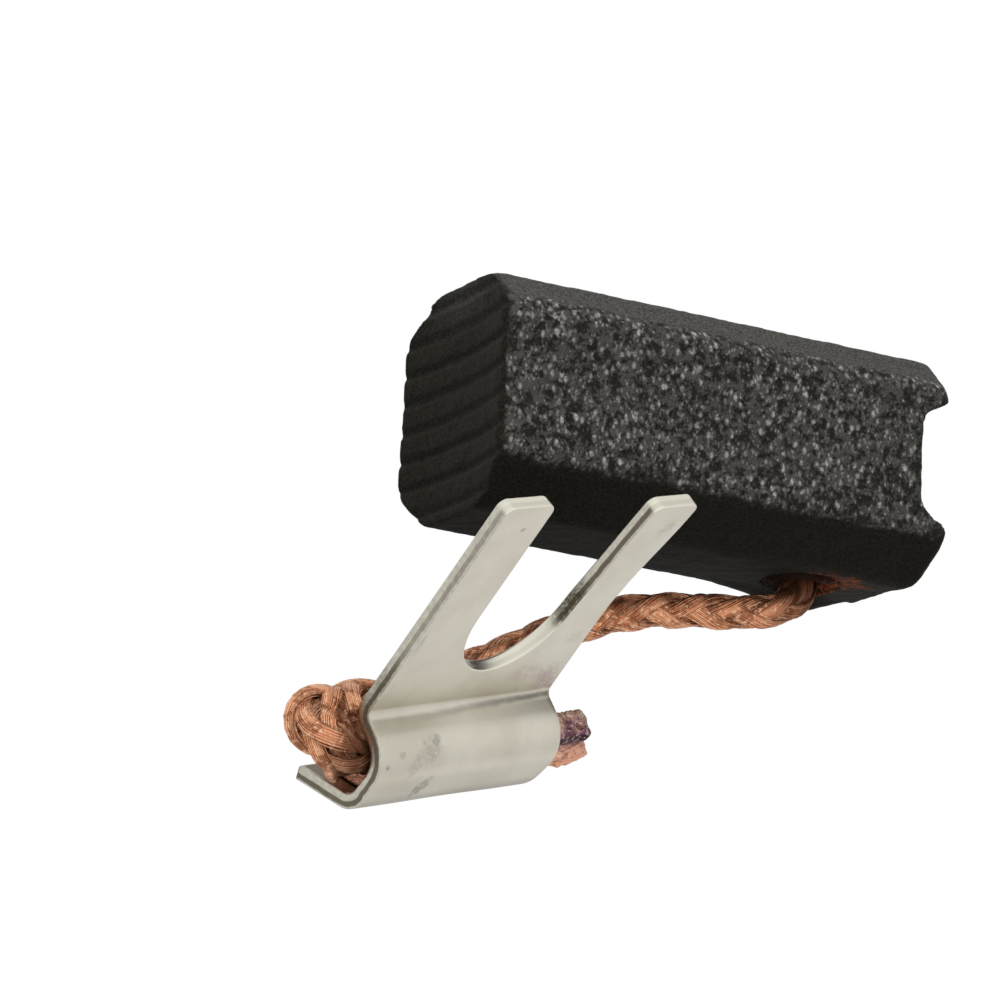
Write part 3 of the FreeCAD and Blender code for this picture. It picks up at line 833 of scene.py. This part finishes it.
# %% [markdown]
# ## Nickel plate
#
# The plate is a warm off-white metal. Handling has left grey smears, and the weld's heat
# a faint purple tint. A dark line in the bend above the channel is a painted reflection,
# and the inside of the channel is painted brown as shade. The stains are ovals on the flat
# blank, so they stay in place as the strip folds.

# %% The finish of the terminal
def oval(tree, middle, radii, tilt=0.0, soft=0.45, ragged=1.3):
    """1 inside an oval on the blank and 0 outside, with a ragged, soft edge.

    The distance is the root of the squared shares of both radii, plus noise.
    """
    along = tree.attribute("along") - middle[1]
    across = tree.attribute("across") - middle[0]
    first = across * (math.cos(tilt) / radii[0]) + along * (math.sin(tilt) / radii[0])
    second = along * (math.cos(tilt) / radii[1]) - across * (math.sin(tilt) / radii[1])
    distance = (first * first + second * second) ** 0.5 + (tree.noise(5.0) - 0.5) * ragged
    return (1 - distance.step(1 - soft, 1 + soft)) * tree.noise(7.0, 2).step(0.25, 0.6)


# Each stain: its middle and radii across and along the blank, its tilt and its strength.
GREY_SMEARS = [
    ((-1.82, -1.42), (0.40, 0.34), 0.2, 0.34), ((-1.60, -1.22), (0.20, 0.12), 0.5, 0.45),
    ((-2.50, -1.85), (0.20, 0.40), -0.6, 0.22), ((-1.76, -2.66), (0.22, 0.40), -0.7, 0.62),
    ((-3.75, -1.77), (0.08, 0.06), 0.0, 0.7), ((-3.13, -1.49), (0.14, 0.10), 0.0, 0.35),
    ((3.63, 7.79), (0.22, 0.36), -0.5, 0.3), ((-2.81, 7.90), (0.09, 0.09), 0.0, 0.5),
    ((3.50, 2.60), (0.35, 0.30), 0.3, 0.14), ((2.33, 0.38), (0.09, 0.07), 0.0, 0.4),
    ((-3.90, 3.10), (0.10, 0.45), 0.0, 0.3),
]
WALL_DARK_PATCHES = [((2.25, 4.1), (0.6, 0.7), 0.9), ((-4.1, 0.7), (0.5, 1.0), 0.45)]
HEAT_TINTS = [((3.44, 0.78), (0.50, 0.55), 0.5, 0.45), ((2.23, 1.16), (0.55, 0.35), 0.2, 0.25)]
PLATE_SHADES = (0.60, 0.56, 0.47, 1), (0.70, 0.665, 0.57, 1)
PLATE_SPECK = (0.36, 0.34, 0.29, 1)
SMEAR_GREY = (0.20, 0.195, 0.17, 1)
HEAT_PURPLE = (0.34, 0.22, 0.22, 1)
PAINTED_REFLECTION_DARK = (0.10, 0.095, 0.08, 1)
PAINTED_SHADE_BROWN = (0.11, 0.06, 0.035, 1)
WALL_SHADES = (0.50, 0.48, 0.40, 1), (0.62, 0.60, 0.51, 1)
WALL_POLISHED = (0.82, 0.79, 0.67, 1)
WALL_TORN = (0.115, 0.09, 0.06, 1)
WALL_PATCH_DARK = (0.07, 0.062, 0.035, 1)


def make_nickel_plate():
    """Bright plate on the faces, and the press's bands on the sheared rim."""
    tree = Finish("nickel_plate")
    across, along, through, rim = map(tree.attribute, ("across", "along", "through", "rim"))
    mottle = tree.noise(0.45, 4)
    speckle = tree.noise(14.0, 2)
    plate = tree.mix(mottle.step(0.3, 0.7), *PLATE_SHADES)
    plate = tree.mix(speckle.step(0.62, 0.75) * 0.22, plate, PLATE_SPECK)
    for middle, radii, tilt, strength in GREY_SMEARS:
        plate = tree.mix(oval(tree, middle, radii, tilt) * strength, plate, SMEAR_GREY)
    for middle, radii, tilt, strength in HEAT_TINTS:
        plate = tree.mix(oval(tree, middle, radii, tilt, 0.6) * strength, plate, HEAT_PURPLE)
    # A painted dark reflection lies in the bend above the channel, more of it towards the stub.
    line = across * 0.055 - 0.36 + (tree.noise(1.2) - 0.5) * 0.2
    offset = (along - line) * 4.2
    painted_dark_reflection = (1 - (offset * offset).clamp()) * (across.step(-3.2, 4.4) * 0.75 + 0.08)
    plate = tree.mix(painted_dark_reflection * (tree.noise(1.5).step(0.1, 0.6) * 0.5 + 0.5), plate, PAINTED_REFLECTION_DARK)
    # Inside the channel the plate gets a painted brown shade.
    inside = (1 - through.step(-0.97, -0.9)) * (1 - along.step(-1.2, -0.4))
    plate = tree.mix(inside * 0.75, plate, PAINTED_SHADE_BROWN)

    # Through the sheet from -1 at the back to 1 at the front: a burnished band, a torn
    # band and a thin burr. The slot's end is polished instead.
    torn = (through + (tree.noise(2.2) - 0.5) * 0.35).band(-0.05, 0.12, 0.62, 0.78)
    slot_end = across.band(-1.9, -1.6, 2.3, 2.45) * along.band(1.2, 1.3, 2.9, 3.6)
    tip = along.step(8.55, 8.7)
    torn = torn * (1 - slot_end * 0.85) * (1 - tip * 0.8)
    wall = tree.mix(tree.noise(6.0).step(0.35, 0.7), *WALL_SHADES)
    wall = tree.mix(slot_end.maths("MAXIMUM", tip), wall, WALL_POLISHED)
    # The outer edge of the wider prong is cleaner than the rest.
    clean = (1 - across.step(-3.9, -3.8)) * along.step(1.6, 3.0)
    wall = tree.mix(torn * (0.8 - clean * 0.45), wall, WALL_TORN)
    # Two darker patches on the cut wall.
    for middle, radii, strength in WALL_DARK_PATCHES:
        dark_patch = oval(tree, middle, radii, 0, 0.6, 0.8) ** 0.6
        wall = tree.mix(dark_patch * strength, wall, WALL_PATCH_DARK)
    rough = mottle * 0.16 + rim * torn * 0.3 + painted_dark_reflection * 0.2 + 0.24
    height = mottle * 0.5 + speckle * 0.12 + rim * torn * tree.noise(9.0)
    return tree.finish(Base_Color=tree.mix(rim, plate, wall), Metallic=1.0, Roughness=rough,
                       Normal=tree.bump(height, 0.03, 0.35))


terminal_piece = make_terminal(make_nickel_plate())
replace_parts(terminal_piece, "fork_terminal")

# %% [markdown]
# ## A fine skin over the CAD shape
#
# The block, the weld and the powder are rough. Their CAD shapes get an even skin of
# small facets first, which can then be pushed in and out along its normals.

# %% Resurface a CAD node
def even_skin(node, facet_mm):
    """Points, normals and quads of an even mesh over a CAD node's shape."""
    holder = add_object("skin_holder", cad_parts[node].data.copy())
    weld = holder.modifiers.new("join_points", "WELD")
    weld.merge_threshold = 0.001 * MM
    voxels = holder.modifiers.new("even_facets", "REMESH")
    voxels.mode = "VOXEL"
    voxels.voxel_size = facet_mm * MM
    graph = bpy.context.evaluated_depsgraph_get()
    skin = bpy.data.meshes.new_from_object(holder.evaluated_get(graph))
    points = np.empty(len(skin.vertices) * 3, np.float32)
    skin.vertices.foreach_get("co", points)
    normals = np.empty_like(points)
    skin.vertex_normals.foreach_get("vector", normals)
    corners = np.empty(len(skin.loops), np.int32)
    skin.loops.foreach_get("vertex_index", corners)
    assert len(corners) == len(skin.polygons) * 4
    bpy.data.objects.remove(holder)
    return points.reshape(-1, 3) / MM, normals.reshape(-1, 3), corners.reshape(-1, 4)


print("a CAD node gets its skin from even_skin")

# %% [markdown]
# ## Carbon
#
# The two pressed faces keep the grain of the powder: small round granules with black pits
# between. The glints of granules that catch the light are painted highlights, and the pits
# get painted shade. The moulded sides are smooth and almost black, with a painted sheen on
# the side that faces the lamps. The granules are cells of a Voronoi pattern, each with a
# random shade.

# %% The finish of the carbon
GRANULE_STRETCH = (1.0, 0.68, 1.0)
GRANULE_TURN = (0.6, 0.4, 0.9)
SMOOTH_SHADES = (0.003, 0.0026, 0.0019, 1), (0.020, 0.0175, 0.0128, 1)
CARBON_PAINTED_SHEEN = (0.078, 0.0765, 0.072, 1)
PRESSED_SHADES = (0.012, 0.0115, 0.010, 1), (0.060, 0.058, 0.054, 1)
GRANULE_GLINT = (0.40, 0.39, 0.37, 1)
COPPER_DUST = (0.26, 0.068, 0.022, 1)


def granules(tree, per_mm, low, high):
    """Random shades on rounded cells, used as painted glints, and how far inside its cell each point
    is.
    """
    inputs = {"Vector": tree.place(per_mm, GRANULE_STRETCH, GRANULE_TURN), "Scale": 1.0}
    tone_and_painted_highlight = tree.add("ShaderNodeTexVoronoi", {}, inputs, "Color").step(low, high)
    inside = 1 - tree.add("ShaderNodeTexVoronoi", {}, inputs, "Distance").step(0.18, 0.55)
    return tone_and_painted_highlight * inside, inside


def make_carbon():
    """Granular on the pressed faces, with painted glints and painted shade in the pits, and smooth
    elsewhere with a painted sheen on the lit side, and copper dust at the hole.
    """
    tree = Finish("carbon")
    pressed = tree.attribute("pressed")
    coarse, coarse_dome = granules(tree, 4.6, 0.34, 0.72)
    fine, fine_dome = granules(tree, 8.5, 0.36, 0.78)
    patches = tree.noise(0.9).step(0.3, 0.65)
    # Pits: dented in by the bump and darker in colour, a painted shade in them.
    pits_with_painted_shade = tree.noise(3.2, 4).step(0.38, 0.56)
    # Painted highlights: glints on the granules, weaker in the pits.
    glint = (coarse * 0.8 + fine * 0.55) * (patches * 0.45 + 0.55) * (pits_with_painted_shade * 0.75 + 0.25)
    grain = tree.noise(12.0)
    # A painted sheen on the side that faces the lamps, broken up by the grain.
    painted_sheen = tree.attribute("painted_sheen") * (grain.step(0.35, 0.65) * 0.75 + 0.25)
    # On the block this mark is copper dust only, with no painted shade.
    dust_and_painted_shade = tree.attribute("dust_and_painted_shade") * tree.noise(5.0).step(0.38, 0.6)
    smooth = tree.mix(grain.step(0.3, 0.7), *SMOOTH_SHADES)
    smooth = tree.mix(painted_sheen, smooth, CARBON_PAINTED_SHEEN)
    rough = tree.mix((grain + pits_with_painted_shade - 0.5).clamp(), *PRESSED_SHADES)
    colour = tree.mix(pressed, smooth, rough)
    colour = tree.mix((glint * pressed).clamp(), colour, GRANULE_GLINT)
    colour = tree.mix(dust_and_painted_shade, colour, COPPER_DUST)
    height = pressed * (coarse_dome + fine_dome * 0.5 + pits_with_painted_shade) + grain * 0.3
    return tree.finish(Base_Color=colour, Roughness=0.75, Specular_IOR_Level=0.1,
                       Normal=tree.bump(height, 0.07, 0.8))


carbon = make_carbon()
print("carbon ready")

# %% Roughen the block
BLOCK_TOP = 7.0
BLOCK_FACET = 0.085
# Dust has spilled over the hole's rim, mostly to one side: its middle, in x and z.
SPILL_MM = (5.6, 4.3)
# How far the hole's side bulges (mm) at a few places along the block.
SIDE_PLACES = (2.0, 3.5, 4.7, 5.7, 6.5, 7.1, 7.7, 8.3)
SIDE_BULGES = (0.0, 0.15, 0.36, 0.46, 0.42, 0.14, -0.22, -0.35)
FAR_SIDE_BULGE = 0.09
REAR_BULGE = 0.2
REAR_EDGE_WEAR = 0.38


def make_block():
    """The block's skin, pushed about by noise: grains on the pressed faces, soft waves elsewhere."""
    points, normals, faces = even_skin("carbon_block", BLOCK_FACET)
    along, across, height = points.T
    ragged = 0.05 * lattice_noise(points, 0.3, 31) + 0.25 * rise(across, 2.2, 2.9)
    pressed = rise(np.maximum(height, BLOCK_TOP - height) + ragged, 6.86, 6.95)
    # A painted sheen on the unpressed faces of the side that faces the lamps.
    painted_sheen = rise(across, 2.2, 3.0) * (1 - pressed) * rise(along, -8.2, -7.8)
    waves = lattice_noise(points, 1.6, 32) * 0.025 + lattice_noise(points, 0.45, 33) * 0.02
    grains = lattice_noise(points * (1, 0.75, 1), 0.19, 34) * 0.035
    push = waves + grains * (0.3 + 0.7 * pressed)
    places = points + normals * push[:, None]
    places[:, 1] += rise(across, 2.9, 3.8) * rise(along, -8.3, -7.4) * FAR_SIDE_BULGE
    places[:, 0] += rise(across, 2.4, 3.7) * rise(along, 7.2, 8.2) * REAR_BULGE
    low_side = rise(-across, 2.6, 3.7) * (1 - rise(height, 1.4, 2.5))
    places[:, 1] -= low_side * np.interp(along, SIDE_PLACES, SIDE_BULGES)
    # The rear edge on the hole's side is worn, between the bottom and half way up.
    rear_edge = rise(along, 7.2, 8.3) * rise(-across, 1.5, 3.5)
    low_half = rise(height, 0.3, 1.2) * (1 - rise(height, 4.2, 5.8))
    places[:, 0] -= REAR_EDGE_WEAR * rear_edge * low_half
    spill = np.hypot(along - SPILL_MM[0], (height - SPILL_MM[1]) * 1.4)
    spill = spill + 0.3 * lattice_noise(points, 0.5, 35)
    dust_and_painted_shade = (1 - rise(spill, 0.7, 1.5)) * (across < -3.0)
    return new_piece("carbon_block_skin", places * MM, faces, carbon,
                     {"pressed": pressed, "painted_sheen": painted_sheen, "dust_and_painted_shade": dust_and_painted_shade})


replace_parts(make_block(), "carbon_block")

# %% [markdown]
# ## Tamped powder
#
# The powder round the braid's root is coarse copper dust, browned, in dark clumps; one
# half is painted black as shadow.

# %% Make the powder
POWDER_FACET = 0.05
POWDER_SHADES = (0.010, 0.005, 0.003, 1), (0.30, 0.075, 0.024, 1)


def make_powder():
    """A grainy, dark copper ring in the hole, with painted shadow over one half."""
    tree = Finish("copper_powder")
    # On the hole's shadowed side the clumps are painted dark, a painted shadow.
    clump = tree.noise(7.0).step(0.42, 0.62) * (tree.attribute("outside_painted_shadow") * 0.95 + 0.05)
    colour = tree.mix(clump, *POWDER_SHADES)
    finish = tree.finish(Base_Color=colour, Roughness=0.8, Specular_IOR_Level=0.1,
                         Normal=tree.bump(tree.noise(16.0), 0.04, 0.9))
    points, normals, faces = even_skin("tamped_powder", POWDER_FACET)
    push = lattice_noise(points, 0.22, 41) * 0.05 + lattice_noise(points, 0.1, 42) * 0.03 + 0.03
    places = points + normals * push[:, None]
    return new_piece("tamped_powder_grains", places * MM, faces, finish,
                     {"outside_painted_shadow": rise(points[:, 0], 4.8, 5.8)})


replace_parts(make_powder(), "tamped_powder")

# %% [markdown]
# ## The weld
#
# Current and pressure fused the braid into a crushed bar. Its stub is tinted by the
# heat: straw and purple at the top, then almost black, then clean pink copper.

# %% The finish of the weld
HEAT_STOPS = [
    (0.0, (0.85, 0.42, 0.25)), (0.42, (0.80, 0.42, 0.29)), (0.58, (0.42, 0.17, 0.13)),
    (0.67, (0.08, 0.03, 0.05)), (0.77, (0.012, 0.010, 0.02)), (0.84, (0.20, 0.09, 0.15)),
    (0.91, (0.50, 0.30, 0.24)), (1.0, (0.42, 0.36, 0.24)),
]
WELD_SHADES = (0.62, 0.24, 0.13, 1), (0.85, 0.47, 0.34, 1)
WELD_PAINTED_CREASE_SHADE = (0.12, 0.038, 0.016, 1)
WELD_GLINT = (0.98, 0.70, 0.55, 1)


def make_weld_finish():
    """Pink crushed copper, with heat colours by height on the stub."""
    tree = Finish("copper_weld")
    lumps = tree.noise(3.0, 4)
    fine = tree.noise(9.0, 4)
    # Creases: dented in by the bump and darkened, a painted shade in them.
    creases_and_painted_shade = tree.noise(3.6, 5).step(0.5, 0.68) * 0.75
    height = tree.attribute("height") + (tree.noise(1.6, 4) - 0.5) * 0.35
    tint = tree.add("ShaderNodeValToRGB", {}, {0: height}, "Color")
    elements = tint.socket.node.color_ramp.elements
    for _ in HEAT_STOPS[2:]:
        elements.new(0.5)
    for element, (position, colour) in zip(elements, HEAT_STOPS):
        element.position = position
        element.color = colour + (1,)
    colour = tree.mix(lumps.step(0.35, 0.65), *WELD_SHADES)
    colour = tree.mix(tree.attribute("stub"), colour, tint)
    colour = tree.mix(creases_and_painted_shade, colour, WELD_PAINTED_CREASE_SHADE)
    # Painted highlights: bright flecks, none on the creases.
    painted_highlights = fine.step(0.54, 0.64) * (1 - creases_and_painted_shade)
    colour = tree.mix(painted_highlights * 0.5, colour, WELD_GLINT)
    return tree.finish(Base_Color=colour, Metallic=0.9, Roughness=lumps * 0.3 + 0.28,
                       Normal=tree.bump(fine - creases_and_painted_shade * 0.5, 0.07, 0.9))


copper_weld = make_weld_finish()
print("weld finish ready")

# %% Crush the bar
WELD_FACET = 0.06
STUB_FROM = 4.1
STUB_TO = 6.2
STUB_LOW = -2.45
STUB_HIGH = -0.55
STUB_SLOPE = 0.4
# How far the stub's ragged end stands out at a few heights.
STUB_HEIGHTS = (-2.45, -1.95, -1.35, -0.80)
STUB_REACHES = (0.05, 0.32, -0.20, -0.05)


def make_weld():
    """The bar's skin, dented along its length and ragged at the stub's end."""
    points, normals, faces = even_skin("pigtail_weld", WELD_FACET)
    local = (points - TERMINAL_PLACE) @ TERMINAL_AXES.T
    across, along = local[:, 0], local[:, 1]
    long_grain = lattice_noise(local * (0.4, 1, 1), 0.28, 51) * 0.055
    lumps = lattice_noise(local, 0.42, 52) * 0.10 + lattice_noise(local, 0.16, 53) * 0.035
    stub = rise(across, STUB_FROM - 0.25, STUB_FROM + 0.1)
    push = (long_grain + lumps) * (0.45 + 0.55 * stub) - 0.03 * (1 - stub)
    reach = np.interp(along, STUB_HEIGHTS, STUB_REACHES) * rise(across, STUB_FROM + 0.5, STUB_TO)
    # The stub's top slopes down to the fork.
    near_fork = 1 - rise(across, STUB_FROM - 0.2, STUB_FROM + 0.9)
    drop = -STUB_SLOPE * near_fork * rise(along, -1.6, -0.7)
    places = points + normals * push[:, None]
    places = places + reach[:, None] * TERMINAL_AXES[0] + drop[:, None] * TERMINAL_AXES[1]
    height = (along - STUB_LOW) / (STUB_HIGH - STUB_LOW)
    return new_piece("pigtail_weld_bar", places * MM, faces, copper_weld,
                     {"height": height, "stub": stub})


weld_piece = make_weld()
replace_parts(weld_piece, "pigtail_weld")

# %% [markdown]
# ## The strands' hearts
#
# A real strand is packed with wire. A plain core inside each modelled strand fills
# the gaps between its outer wires.

# %% Fill the strands
CORE_SIDES = 10
CORE_SCALE = 1.04
CORE_SHADE = 0.3
CORE_LEAST_PAINTED_SHADE = 0.15


def make_cores():
    """One flat tube under each strand's wires."""
    seats = even_angles(CORE_SIDES)
    sideways = CORE_SCALE * ribbon_width[:, None, None] * np.cos(seats)[:, None]
    outward = CORE_SCALE * ribbon_height[:, None, None] * np.sin(seats)[:, None]
    rings = []
    for turn in (-1, 1):
        for number in range(STRANDS_EACH_WAY):
            centre, out, across = (row[:, None] for row in strand_path(turn, number))
            rings.append(centre + sideways * across + outward * out)
    rings = np.array(rings)
    # The cores get the braid's painted shade, and always at least a little of it.
    attributes = {"tone_and_painted_highlight": CORE_SHADE, "dust_and_painted_shade": powder_and_painted_shade[:, None],
                  "braid_painted_shade": np.maximum(painted_shade_in_braid(rings, seats), CORE_LEAST_PAINTED_SHADE)}
    return new_piece("pigtail_strand_cores", rings, tube_faces(*rings.shape[:-1]), copper_wire,
                     attributes)


strand_cores = make_cores()

# %% [markdown]
# ## Loose strands
#
# In the loop a few strands have slipped out of the braid. One hangs into the lip, and
# the others cross the loop's hollow and get painted shade, for lying in its dark.

# %% Lay the loose strands
# Each line: its painted shade, and its points across, along and in front of the fork, in mm.
LOOSE_LINES = [
    (0.0, [(-4.5, -1.0, 0.3), (-4.85, -1.5, 0.6), (-4.7, -1.95, 0.66), (-4.2, -2.35, 0.58),
           (-3.9, -2.6, 0.52)]),
    (0.7, [(-3.5, -1.0, -1.3), (-3.3, -1.15, -0.8), (-3.2, -1.27, -0.3), (-3.3, -1.4, 0.3),
           (-3.4, -1.6, 0.7)]),
    (0.8, [(-4.0, -1.6, -1.2), (-3.6, -1.8, -0.6), (-3.4, -1.9, 0.0), (-3.4, -1.9, 0.5)]),
    (0.7, [(-4.3, -0.8, -1.2), (-3.9, -1.0, -0.6), (-3.8, -1.2, 0.1), (-3.9, -1.5, 0.6)]),
]
LOOSE_SAMPLES = 60
LOOSE_WIRES = 24
LOOSE_RADIUS = 0.19 * MM
LOOSE_SPOKES = (1.0, 0.72)
LOOSE_SEED = 8


def make_loose_strands():
    """Short round bundles: wires on two rings round a smooth line, with half a twist."""
    share = np.linspace(0, 1, LOOSE_SAMPLES)
    angle = even_angles(LOOSE_WIRES)[:, None] + math.pi * share
    radius = LOOSE_RADIUS * (0.2 + 0.8 * np.sqrt(np.clip(np.sin(math.pi * share), 0, 1)))
    paths = []
    for _, places in LOOSE_LINES:
        placed = np.array(places) @ TERMINAL_AXES + TERMINAL_PLACE
        line = spline_line(placed.tolist(), LOOSE_SAMPLES)[0]
        level, upright = square_axes(line)
        ring = np.cos(angle)[..., None] * level + np.sin(angle)[..., None] * upright
        paths.extend(line + spoke * radius[:, None] * ring for spoke in LOOSE_SPOKES)
    paths = np.concatenate(paths)
    points, faces = tubes(paths, 1.1 * WIRE_RADIUS)
    shades = np.random.default_rng(LOOSE_SEED).uniform(0, 1, len(paths))
    loose_painted_shade = np.repeat([line[0] for line in LOOSE_LINES], len(LOOSE_SPOKES) * LOOSE_WIRES)
    attributes = {"tone_and_painted_highlight": shades[:, None, None], "dust_and_painted_shade": 0, "braid_painted_shade": loose_painted_shade[:, None, None]}
    return new_piece("pigtail_loose_strands", points, faces, copper_wire, attributes)


loose_strands = make_loose_strands()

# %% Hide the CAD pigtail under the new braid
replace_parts(left_strands, "pigtail")
